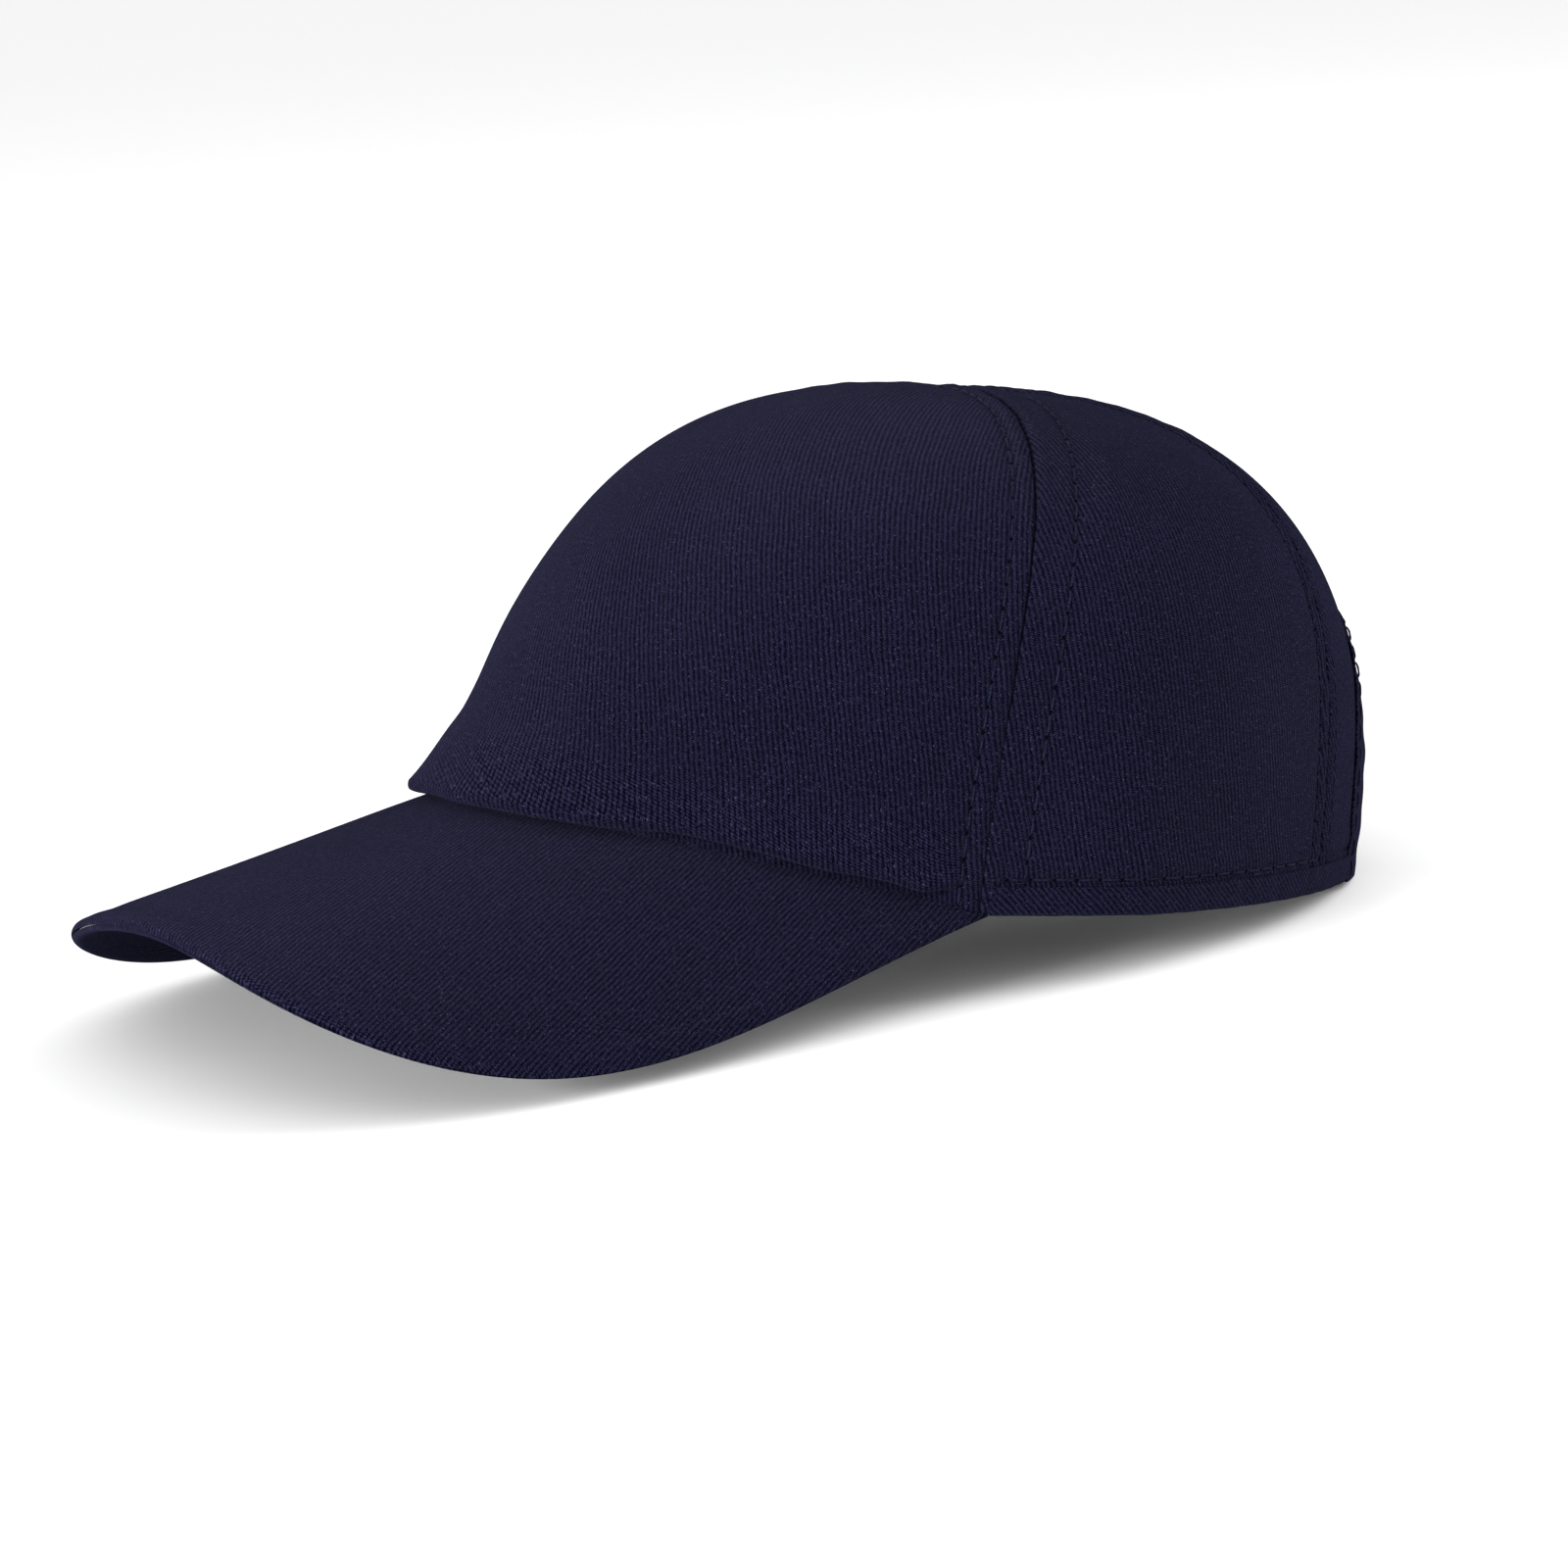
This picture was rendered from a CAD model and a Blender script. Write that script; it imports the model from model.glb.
import math

import bpy
import numpy as np
from mathutils import Matrix, Vector


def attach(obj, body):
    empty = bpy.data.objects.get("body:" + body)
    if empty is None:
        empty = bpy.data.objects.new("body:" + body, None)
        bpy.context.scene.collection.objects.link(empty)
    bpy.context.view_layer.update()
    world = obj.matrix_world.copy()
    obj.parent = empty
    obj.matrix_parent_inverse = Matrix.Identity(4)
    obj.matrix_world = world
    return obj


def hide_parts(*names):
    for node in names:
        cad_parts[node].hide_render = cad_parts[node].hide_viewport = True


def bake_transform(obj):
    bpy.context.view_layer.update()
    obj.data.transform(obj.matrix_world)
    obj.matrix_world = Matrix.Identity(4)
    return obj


# A five-panel baseball cap of dark navy twill. The cloth is built as gridded meshes from the crown's
# own formulas, in millimetres in the crown's upright frame, and placed in the row frame at the end.

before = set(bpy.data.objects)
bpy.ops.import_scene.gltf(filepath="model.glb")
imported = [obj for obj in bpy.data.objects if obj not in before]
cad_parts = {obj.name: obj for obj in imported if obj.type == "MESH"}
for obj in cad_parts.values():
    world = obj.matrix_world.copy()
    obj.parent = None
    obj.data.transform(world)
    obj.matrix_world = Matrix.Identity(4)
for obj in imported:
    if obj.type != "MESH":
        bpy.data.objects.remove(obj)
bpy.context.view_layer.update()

MM = 0.001

# How the cap lies
TILT = math.radians(8.04)
CROWN_ORIGIN = (0.0, 34.1, 12.62)

# Crown, outer surface
HALF_WIDTH = 82.0
REACH_FRONT = 109.4
REACH_BACK = 107.4
CROWN_HEIGHT = 98.6
APEX_BACK = 8.5
FRONT_SHAPE = (0.78, 1.40)
SIDE_SHAPE = (0.72, 0.69)
BACK_SHAPE = (0.69, 1.10)
FRONT_BULGE = -2.3
SIDE_BULGE = 3.5
BACK_BULGE = 4.7
FLARE = 4.5
FLARE_HEIGHT = 19.0
FRONT_POINT = 1.62
FRONT_SEAM = (60.8, 15.5)
SIDE_SEAM = (120.9, 17.6)
BACK_SEAM = (180.0, 0.0)

# Brim
BRIM_SLOPE = math.tan(math.radians(15.75))
BRIM_RISE = 13.7
BRIM_LENGTH = 69.5
BRIM_HALF_WIDTH = 76.9
BRIM_SQUARENESS = 3.2
CORNER_X = 72.0
CORNER_PULL = 4
BOW_ROUND = 0.71
BOW_POWER = 3.6
BRIM_THICKNESS = 3.2
BRIM_ROOT = 2.2

# The front panel's lower edge, rolled over the brim: lengths up the cloth, the roll and its stand-out
ROLL_RUN = 3.0
ROLL_BEND = 7.0
ROLL_BLEND = 18.0
ROLL_RADIUS = 2.6
ROLL_GAP = 1.7
ROLL_ROOT = -1.0
ROLL_OUT_LEAST = 1.2
ROLL_OUT = 6.6
ROLL_MIDDLE = -4
ROLL_SPREAD = 28
ROLL_FADE = 5.2
ROLL_SEAM = (1.0, 14.0)

# Cloth and depths below the crown's outer surface
TWILL = 0.9
INTERLINING = (1.0, 1.35)
TAPE = (1.5, 2.0)
TAPE_HALF = 6.0
BINDING_OUT = (-0.75, -0.05)
BINDING_IN = (0.95, 1.65)
HEM_HEIGHT = 5.0
SWEATBAND = (3.5, 4.9)
SWEATBAND_HEIGHTS = (1.0, 33.0)
LABEL = (4.95, 5.35)
LABEL_SPAN = (-76.0, -62.0)
LABEL_HEIGHTS = (6.0, 24.0)

# Rear opening and closure
ARCH_HALF_WIDTH = 52.0
ARCH_STRAIGHT = 14.0
ARCH_RISE = 46.0
ARCH_BINDING_WIDTH = 8.0
STRAP_HEIGHTS = (3.0, 25.0)
STRAP = (-0.75, 0.35)
STRAP_ENDS = (-62.0, 26.0)
STRAP_INSIDE = (1.8, 2.9)
STRAP_CROSSES = (-50.6, -45.5)
HOOK_PAD = (0.35, 0.95)
HOOK_SPAN = (-20.0, 23.0)
LOOP_PAD = (1.35, 2.05)
LOOP_SPAN = (-24.0, 40.0)
PAD_MARGIN = 2.0
TAB = (2.05, 3.05)
TAB_ENDS = (62.0, -27.0)
STRAP_HINGE_X = -50.6
TAB_HINGE_X = 49.75
CLOSURE_ROUND = 6.0
CLOSURE_MARGIN = 2.0

# Sewing
STITCH_PITCH = 4.9
CLOSURE_PITCH = 3.4
TAPE_PITCH = 2.6
TAPE_ROW = 4.4
THREAD_RADIUS = 0.24
FRONT_ROW = 4.5
SIDE_ROW = 8.5
REAR_ROW = 4.5
HEM_ROW = 6.4

# Twill: the spacing of its ribs, the length of its floats and its colours
WALE = 1.0
FLOAT = 0.44
NAVY_GROOVE = (0.0014, 0.0013, 0.0045)
NAVY_RIDGE = (0.0160, 0.0150, 0.0385)
NAVY_SHEEN = (0.6, 0.6, 1.0, 1.0)
NAVY_LINT = (0.040, 0.040, 0.085)
NEEDLE_HOLE = (0.0015, 0.0014, 0.003)

# Rows of stitches, filled piece by piece
sewing = {"crown": [], "hem": [], "tapes": [], "sweatband": [], "arch": [], "strap": [], "tab": []}


# ---------- shape formulas


def profile(share, shape):
    roundness, fullness = shape
    rise = share ** (1 / fullness)
    run = np.sqrt(np.clip(1 - rise * rise, 0, 1))
    return run**roundness, 2 * rise * run


def crown_point(height, angle, inset=0.0):
    """Point on the crown at a height, at an angle in degrees from the front towards the left side."""
    share = np.clip(height / (CROWN_HEIGHT - inset), 0, 1)
    side, side_bulge = profile(share, SIDE_SHAPE)
    front, front_bulge = profile(share, FRONT_SHAPE)
    back, back_bulge = profile(share, BACK_SHAPE)
    middle = APEX_BACK * (1 - side)
    half_width = (HALF_WIDTH - inset) * side + SIDE_BULGE * side_bulge
    flare = FLARE * np.exp(-np.maximum(height, 0) / FLARE_HEIGHT) * (1 - share)
    front_reach = (REACH_FRONT - inset) * front + FRONT_BULGE * front_bulge + flare
    front_reach = front_reach - APEX_BACK * (1 - front) + middle
    back_reach = (REACH_BACK - inset) * back + BACK_BULGE * back_bulge
    back_reach = back_reach + APEX_BACK * (1 - back) - middle
    along = np.cos(np.radians(angle))
    exponent = 1 + (FRONT_POINT - 1) * (1 - share)
    ahead = front_reach * np.maximum(along, 1e-9) ** exponent
    reach = np.where(along > 0, ahead, back_reach * along)
    x = half_width * np.sin(np.radians(angle))
    return np.stack([x, middle - reach, height + 0 * x], -1)


def rear_angle(x, height):
    """Angle at which the back of the crown has this x."""
    half_width = crown_point(height, 90.0)[..., 0]
    return 180 - np.degrees(np.arcsin(np.clip(x / half_width, -1, 1)))


def seam_angle(seam, height):
    share = np.clip(height / CROWN_HEIGHT, 0, 1)
    return seam[0] + seam[1] * (np.arcsin(share) * 2 / math.pi) ** 1.5


CORNER_ANGLE = math.degrees(math.asin(CORNER_X / HALF_WIDTH))
CORNER_Y = -REACH_FRONT * math.cos(math.radians(CORNER_ANGLE)) ** FRONT_POINT


def bow(x):
    crest = BRIM_RISE + BRIM_SLOPE * REACH_FRONT
    foot = -BRIM_SLOPE * CORNER_Y
    share = np.abs(x) / CORNER_X
    fall = BOW_ROUND * share**2 + (1 - BOW_ROUND) * share**BOW_POWER
    return crest - (crest - foot) * fall


def brim_height(x, y):
    return bow(x) + BRIM_SLOPE * y


def outline(turn, inset=0.0):
    """Plan point of the brim's outer edge, turn from -90 to 90 degrees."""
    length = REACH_FRONT + BRIM_LENGTH + CORNER_Y - inset
    power = 2 / BRIM_SQUARENESS
    side = np.sin(np.radians(turn))
    x = (BRIM_HALF_WIDTH - inset) * np.abs(side) ** power
    y = CORNER_Y - length * np.clip(np.cos(np.radians(turn)), 0, 1) ** power
    pull = np.abs(turn / 90) ** CORNER_PULL
    x = x * (1 - pull) + (CORNER_X - inset) * pull
    return np.sign(side) * x, y


def junction(angle_at):
    """Height at which the crown's wall meets the brim's top; angle_at gives the angle at a height."""
    height = 0.0 * angle_at(0.0) + 5.0
    for _ in range(60):
        point = crown_point(height, angle_at(height))
        height = 0.5 * height + 0.5 * np.maximum(brim_height(point[..., 0], point[..., 1]), 0)
    return height


def place(points):
    """From the crown's frame in millimetres to the row frame in metres."""
    points = np.asarray(points, float)
    x, y, z = points[..., 0], points[..., 1], points[..., 2]
    lean, rise = math.sin(TILT), math.cos(TILT)
    laid = [x, y * rise + z * lean, z * rise - y * lean]
    return np.stack([a + o for a, o in zip(laid, CROWN_ORIGIN)], -1) * MM


# ---------- mesh helpers


def unit(vectors):
    return vectors / np.maximum(np.linalg.norm(vectors, axis=-1, keepdims=True), 1e-12)


def normals(grid):
    """Outward normals of a grid whose columns go round to the left and whose rows go up."""
    across = np.gradient(grid, axis=1)
    up = np.gradient(grid, axis=0)
    return unit(np.cross(across, up))


def lengths(grid, axis):
    """Distance along the grid from its first row or column, at every point."""
    steps = np.linalg.norm(np.diff(grid, axis=axis), axis=-1)
    start = np.zeros_like(steps[:1]) if axis == 0 else np.zeros_like(steps[:, :1])
    return np.concatenate([start, np.cumsum(steps, axis=axis)], axis=axis)


def crowded(count, ends=0.7):
    """Shares from 0 to 1, closer together at both ends."""
    t = np.linspace(0, 1, count)
    return t - ends * np.sin(2 * math.pi * t) / (2 * math.pi)


def crowded_low(count, start):
    """Shares from 0 to 1, closer together at the start."""
    t = np.linspace(0, 1, count)
    return t - start * np.sin(math.pi * t) / math.pi


def new_object(name, vertices, faces, material, uvs=()):
    mesh = bpy.data.meshes.new(name)
    mesh.from_pydata(vertices.tolist(), [], faces.tolist() if hasattr(faces, "tolist") else faces)
    corner_vertices = np.zeros(len(mesh.loops), np.int32)
    mesh.loops.foreach_get("vertex_index", corner_vertices)
    for title, values in uvs:
        layer = mesh.uv_layers.new(name=title)
        layer.data.foreach_set("uv", values[corner_vertices].astype(np.float32).ravel())
    mesh.polygons.foreach_set("use_smooth", np.ones(len(mesh.polygons), bool))
    mesh.update()
    mesh.set_sharp_from_angle(angle=math.radians(55))
    obj = bpy.data.objects.new(name, mesh)
    bpy.context.scene.collection.objects.link(obj)
    mesh.materials.append(material)
    return obj


def shell(name, outer, inner, material, cloth, seam=None):
    """A closed sheet between two grids. cloth and seam are its texture coordinates in millimetres."""
    rows, columns = outer.shape[:2]
    index = np.arange(rows * columns).reshape(rows, columns)
    back = index + rows * columns

    def quads(a, b, c, d):
        return np.stack([a.ravel(), b.ravel(), c.ravel(), d.ravel()], -1)

    faces = [
        quads(index[:-1, :-1], index[:-1, 1:], index[1:, 1:], index[1:, :-1]),
        quads(back[:-1, :-1], back[1:, :-1], back[1:, 1:], back[:-1, 1:]),
        quads(index[0, :-1], back[0, :-1], back[0, 1:], index[0, 1:]),
        quads(index[-1, :-1], index[-1, 1:], back[-1, 1:], back[-1, :-1]),
        quads(index[:-1, 0], index[1:, 0], back[1:, 0], back[:-1, 0]),
        quads(index[:-1, -1], back[:-1, -1], back[1:, -1], index[1:, -1]),
    ]
    vertices = place(np.concatenate([outer.reshape(-1, 3), inner.reshape(-1, 3)]))
    flat = cloth.reshape(-1, 2)
    uvs = [("cloth", np.concatenate([flat, flat]))]
    far = np.full_like(flat, 50.0)
    uvs.append(("seam", np.concatenate([far if seam is None else seam.reshape(-1, 2), far])))
    return new_object(name, vertices, np.concatenate(faces), material, uvs)


def turned(across, along, lean):
    """Cloth coordinates whose second axis, the rib of the twill, leans by an angle in degrees."""
    turn = math.radians(lean)
    first = across * math.cos(turn) + along * math.sin(turn)
    return np.stack([first, along * math.cos(turn) - across * math.sin(turn)], -1)


def ribbed(across, along, *rates):
    """Cloth coordinates whose rib leans more with the distance along: rates are the lean's polynomial."""
    drift = sum(rate * along ** (power + 1) / (power + 1) for power, rate in enumerate(rates))
    return np.stack([(across + drift) / math.hypot(1, rates[0]), along], -1)


def waves(position, *parts):
    """A sum of sines, each (size, wavelength, phase)."""
    return sum(size * np.sin(2 * math.pi * position / length + phase) for size, length, phase in parts)


def bump(value, centre, width):
    return np.exp(-(((value - centre) / width) ** 2))


def eased(value, start, end):
    """A smooth step from 0 at start to 1 at end."""
    share = np.clip((value - start) / (end - start), 0, 1)
    return share * share * (3 - 2 * share)


def finish_piece(obj, body, slot, *nodes):
    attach(obj, body)
    if nodes:
        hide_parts(*nodes)


# ---------- materials


class Shader:
    """Short ways to add and join shader nodes."""

    def __init__(self, name):
        self.material = bpy.data.materials.new(name)
        self.material.use_nodes = True
        self.tree = self.material.node_tree
        self.tree.nodes.clear()
        self.surface = self.tree.nodes.new("ShaderNodeBsdfPrincipled")
        output = self.tree.nodes.new("ShaderNodeOutputMaterial")
        self.tree.links.new(self.surface.outputs[0], output.inputs[0])

    def put(self, socket, value):
        if isinstance(value, bpy.types.NodeSocket):
            self.tree.links.new(value, socket)
        else:
            socket.default_value = value

    def math(self, operation, *values):
        node = self.tree.nodes.new("ShaderNodeMath")
        node.operation = operation
        for socket, value in zip(node.inputs, values):
            self.put(socket, value)
        return node.outputs[0]

    def uv(self, name):
        node = self.tree.nodes.new("ShaderNodeUVMap")
        node.uv_map = name
        split = self.tree.nodes.new("ShaderNodeSeparateXYZ")
        self.tree.links.new(node.outputs[0], split.inputs[0])
        return node.outputs[0], split.outputs[0], split.outputs[1]

    def place(self):
        return self.tree.nodes.new("ShaderNodeTexCoord").outputs["Object"]

    def noise(self, vector, scale, detail=2.0, rough=0.5):
        node = self.tree.nodes.new("ShaderNodeTexNoise")
        self.put(node.inputs["Vector"], vector)
        node.inputs["Scale"].default_value = scale
        node.inputs["Detail"].default_value = detail
        node.inputs["Roughness"].default_value = rough
        return node.outputs["Fac"]

    def stretch(self, vector, x, y):
        node = self.tree.nodes.new("ShaderNodeMapping")
        self.put(node.inputs["Vector"], vector)
        node.inputs["Scale"].default_value = (x, y, 1.0)
        return node.outputs[0]

    def ramp(self, value, low, high, start=0.0, end=1.0):
        """A smooth step of value from low to high, given as start to end."""
        node = self.tree.nodes.new("ShaderNodeMapRange")
        node.interpolation_type = "SMOOTHSTEP"
        names = ("Value", "From Min", "From Max", "To Min", "To Max")
        for name, given in zip(names, (value, low, high, start, end)):
            self.put(node.inputs[name], given)
        return node.outputs[0]

    def mix(self, share, first, second, blend="MIX"):
        node = self.tree.nodes.new("ShaderNodeMix")
        node.data_type = "RGBA"
        node.blend_type = blend
        self.put(node.inputs["Factor"], share)
        self.put(node.inputs[6], (*first, 1.0) if isinstance(first, tuple) else first)
        self.put(node.inputs[7], (*second, 1.0) if isinstance(second, tuple) else second)
        return node.outputs[2]

    def bump(self, height, distance, strength):
        node = self.tree.nodes.new("ShaderNodeBump")
        node.inputs["Distance"].default_value = distance
        node.inputs["Strength"].default_value = strength
        self.put(node.inputs["Height"], height)
        return node.outputs[0]

    def cosine(self, value, period):
        """A wave from 0 to 1 that peaks at whole periods."""
        turn = self.math("COSINE", self.math("MULTIPLY", value, 2 * math.pi / period))
        return self.math("MULTIPLY_ADD", turn, 0.5, 0.5)

    def done(self, colour, roughness, normal, **constants):
        self.put(self.surface.inputs["Base Color"], colour)
        self.put(self.surface.inputs["Roughness"], roughness)
        self.put(self.surface.inputs["Normal"], normal)
        for name, value in constants.items():
            self.surface.inputs[name.replace("_", " ")].default_value = value
        return self.material


def twill(name, groove, ridge, wale=WALE, holes=True):
    """Coarse twill: slanting ribs beaded by their short floats, with uneven yarn, lint and needle holes."""
    s = Shader(name)
    cloth, across, along = s.uv("cloth")
    drift = s.math("MULTIPLY_ADD", s.noise(cloth, 0.07, 3.0), 1.4, -0.70)
    wander = s.math("MULTIPLY_ADD", s.noise(cloth, 0.8, 2.0), 0.22, -0.11)
    line = s.math("ADD", s.math("ADD", across, drift), wander)
    rib = s.cosine(line, wale)
    slip = s.math("MULTIPLY_ADD", s.noise(cloth, 1.3, 2.0), 0.7, s.math("MULTIPLY", along, 1 / FLOAT))
    bead = s.cosine(s.math("MULTIPLY_ADD", line, 0.5 / wale, slip), 1.0)
    yarn = s.math("SUBTRACT", s.noise(s.stretch(cloth, 1.3, 1.0), 1.0, 2.0), 0.5)
    fibre = s.math("SUBTRACT", s.noise(s.stretch(cloth, 4.5, 3.4), 1.0, 2.0, 0.6), 0.5)
    body = s.math("MULTIPLY", rib, s.math("MULTIPLY_ADD", bead, 0.34, 0.38))
    body = s.math("MULTIPLY_ADD", bead, 0.28, body)
    uneven = s.math("ADD", s.math("MULTIPLY", yarn, 0.9), s.math("MULTIPLY", fibre, 2.1))
    height = s.math("ADD", body, uneven)
    colour = s.mix(s.ramp(height, 0.0, 1.0), groove, ridge)
    streak = s.noise(s.stretch(cloth, 0.8, 0.12), 1.0, 3.0)
    wide = s.math("MULTIPLY_ADD", s.noise(s.place(), 28.0, 3.0), 0.40, 0.80)
    shade = s.math("MULTIPLY", s.math("MULTIPLY_ADD", streak, 0.5, 0.75), wide)
    grey = s.tree.nodes.new("ShaderNodeCombineColor")
    for socket in grey.inputs:
        s.put(socket, shade)
    colour = s.mix(1.0, colour, grey.outputs[0], "MULTIPLY")
    lint = s.ramp(s.noise(s.stretch(cloth, 2.4, 1.7), 1.0, 1.0), 0.64, 0.74, 0.0, 0.8)
    colour = s.mix(lint, colour, NAVY_LINT)
    if holes:
        _, aside, stitch = s.uv("seam")
        whole = s.math("SUBTRACT", s.math("FRACT", s.math("ADD", stitch, 0.5)), 0.5)
        near = s.math("MULTIPLY", whole, STITCH_PITCH)
        apart = s.math("SQRT", s.math("ADD", s.math("POWER", aside, 2.0), s.math("POWER", near, 2.0)))
        pit = s.ramp(apart, 0.22, 0.62, 1.0, 0.0)
        colour = s.mix(pit, colour, NEEDLE_HOLE)
        height = s.math("SUBTRACT", height, s.math("MULTIPLY", pit, 2.2))
    rough = s.math("MULTIPLY_ADD", fibre, 0.12, 0.85)
    normal = s.bump(height, 0.00022, 0.9)
    sheen = dict(Sheen_Weight=0.04, Sheen_Roughness=0.35, Sheen_Tint=NAVY_SHEEN)
    return s.done(colour, rough, normal, Specular_IOR_Level=0.0, **sheen)


def plain_weave(name, dark, light, pitch, sheen=0.1):
    """Plain cloth, one thread over and one under."""
    s = Shader(name)
    cloth, across, along = s.uv("cloth")
    warp = s.cosine(s.math("ADD", across, s.math("MULTIPLY", s.noise(cloth, 0.5), 0.3)), pitch)
    weft = s.cosine(s.math("ADD", along, s.math("MULTIPLY", s.noise(cloth, 0.7), 0.3)), pitch)
    woven = s.math("MAXIMUM", s.math("MULTIPLY", warp, 0.8), weft)
    fibre = s.noise(s.stretch(cloth, 4.0, 4.0), 1.0, 3.0)
    height = s.math("ADD", woven, s.math("MULTIPLY", fibre, 0.3))
    colour = s.mix(s.ramp(height, 0.2, 1.2), dark, light)
    colour = s.mix(s.ramp(s.noise(s.place(), 60.0, 3.0), 0.35, 0.75, 0.0, 0.35), colour, dark)
    rough = s.math("MULTIPLY_ADD", fibre, 0.12, 0.8)
    return s.done(colour, rough, s.bump(height, 0.00015, 0.8), Sheen_Weight=sheen, Specular_IOR_Level=0.25)


def thread(name, dark, light):
    """Twisted polyester thread in the cloth's own navy."""
    s = Shader(name)
    where = s.place()
    twist = s.noise(where, 2600.0, 2.0)
    wide = s.noise(where, 180.0, 2.0)
    both = s.math("ADD", s.math("MULTIPLY", twist, 0.7), s.math("MULTIPLY", wide, 0.3))
    colour = s.mix(s.ramp(both, 0.35, 0.65), dark, light)
    rough = s.math("MULTIPLY_ADD", twist, 0.2, 0.45)
    return s.done(colour, rough, s.bump(twist, 0.00008, 0.8), Sheen_Weight=0.0, Specular_IOR_Level=0.02)


def tape_face(name, dark, light, scale, coarse):
    """Hook or loop tape: a field of tiny loops."""
    s = Shader(name)
    cloth, _, _ = s.uv("cloth")
    tufts = s.tree.nodes.new("ShaderNodeTexVoronoi")
    s.put(tufts.inputs["Vector"], cloth)
    tufts.inputs["Scale"].default_value = scale
    fuzz = s.noise(cloth, coarse, 4.0, 0.65)
    hollow = s.math("MULTIPLY", tufts.outputs["Distance"], 0.7)
    height = s.math("SUBTRACT", s.math("MULTIPLY", fuzz, 0.9), hollow)
    colour = s.mix(s.ramp(height, -0.2, 0.55), dark, light)
    rough = s.math("MULTIPLY_ADD", fuzz, 0.2, 0.65)
    return s.done(colour, rough, s.bump(height, 0.0003, 0.9), Sheen_Weight=0.3, Specular_IOR_Level=0.3)


def board(name):
    s = Shader(name)
    where = s.place()
    grain = s.noise(where, 400.0, 3.0)
    colour = s.mix(s.ramp(grain, 0.3, 0.7), (0.55, 0.54, 0.5), (0.66, 0.65, 0.61))
    return s.done(colour, s.math("MULTIPLY_ADD", grain, 0.2, 0.4), s.bump(grain, 0.0001, 0.4))


NAVY = twill("navy_twill", NAVY_GROOVE, NAVY_RIDGE)
BIAS = twill("navy_twill_bias", NAVY_GROOVE, NAVY_RIDGE, holes=False)
LINING = twill("sweatband_twill", (0.0035, 0.0033, 0.0100), (0.0130, 0.0120, 0.0360), 0.8)
STIFFENER = plain_weave("stiffener", (0.010, 0.010, 0.016), (0.05, 0.05, 0.07), 0.9)
TAPE_CLOTH = plain_weave("seam_tape", (0.008, 0.008, 0.022), (0.03, 0.03, 0.07), 0.6)
THREAD = thread("navy_thread", (0.0038, 0.0044, 0.0115), (0.0125, 0.0142, 0.0335))
HOOKS = tape_face("hook_tape", (0.004, 0.004, 0.010), (0.030, 0.030, 0.060), 1.6, 1.2)
LOOPS = tape_face("loop_tape", (0.006, 0.006, 0.016), (0.040, 0.040, 0.085), 0.9, 0.8)
LABEL_CLOTH = plain_weave("label_ribbon", (0.62, 0.60, 0.55), (0.80, 0.79, 0.75), 0.35, 0.05)
BOARD = board("brim_board_plastic")


# ---------- crown panels


def crown_grid(first, second, low, columns, rows, top):
    """Grid between two seams from a lower edge to the apex, evenly spaced up each column."""
    dense = 1 - np.linspace(1, 0, 700) ** 2.8
    shares = crowded(columns, 0.87)
    heights = np.zeros((rows, columns))
    levels = crowded_low(rows, 0.8) * top

    def angle_at(height, share):
        return (1 - share) * first(height) + share * second(height)

    for column, share in enumerate(shares):
        start = low(lambda height: angle_at(height, share))
        climb = start + (CROWN_HEIGHT - start) * dense
        line = crown_point(climb, angle_at(climb, share))
        travel = lengths(line[:, None], 0)[:, 0]
        heights[:, column] = np.interp(levels * travel[-1], travel, climb)
    angles = angle_at(heights, shares[None, :])
    return crown_point(heights, angles), heights, angles


def seam_relief(apart, up, row, phase):
    """How cloth stands near a topstitched seam: a groove, a puffed edge, a sunk row and puckers."""
    worn = 0.4 + 0.6 * np.clip((up - 30) / 30, 0, 1)
    groove = -0.95 * worn * bump(apart, 0, 0.30)
    puff = 0.30 * bump(apart, 2.1, 1.3)
    sunk = -0.24 * bump(apart, row, 0.8)
    dimples = -0.14 * bump(apart, row, 1.1) * np.cos(2 * math.pi * up / STITCH_PITCH)
    between = 0.16 * bump(apart, row * 0.55, row * 0.3)
    pucker = waves(up, (0.11, 7.1, phase), (0.10, 11.7, 2 * phase), (0.08, 17.9, 3 * phase))
    return groove + puff + sunk + dimples + between + pucker * np.exp(-apart / (0.9 * row))


def dents(angles, heights, places):
    """Soft dents and ridges, each (angle, height, lean, width, length, size)."""
    total = 0.0 * heights
    degree = 1.5
    for angle, height, lean, width, length, size in places:
        side = (angles - angle) * degree
        rise = heights - height
        turn = math.radians(lean)
        across = side * math.cos(turn) - rise * math.sin(turn)
        along = side * math.sin(turn) + rise * math.cos(turn)
        total = total + size * np.exp(-((across / width) ** 2) - (along / length) ** 2)
    return total


SOFT_SHAPES = [
    (-38, 38, 15, 7, 16, -1.5),
    (-30, 44, 15, 7, 14, 0.5),
    (8, 62, -20, 22, 30, 0.5),
    (35, 30, 10, 16, 22, -0.5),
    (84, 80, 50, 3.5, 16, 0.7),
    (90, 74, 50, 4, 14, -0.5),
    (152, 52, 24, 2.2, 12, -0.9),
    (149, 50, 24, 3.0, 12, 0.6),
    (146, 22, 2, 2.4, 20, -0.7),
    (142, 22, 2, 3.4, 20, 0.5),
    (100, 45, 30, 18, 26, 0.5),
    (-100, 40, -20, 16, 26, -0.6),
    (-140, 50, 10, 10, 20, -0.6),
]


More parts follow.
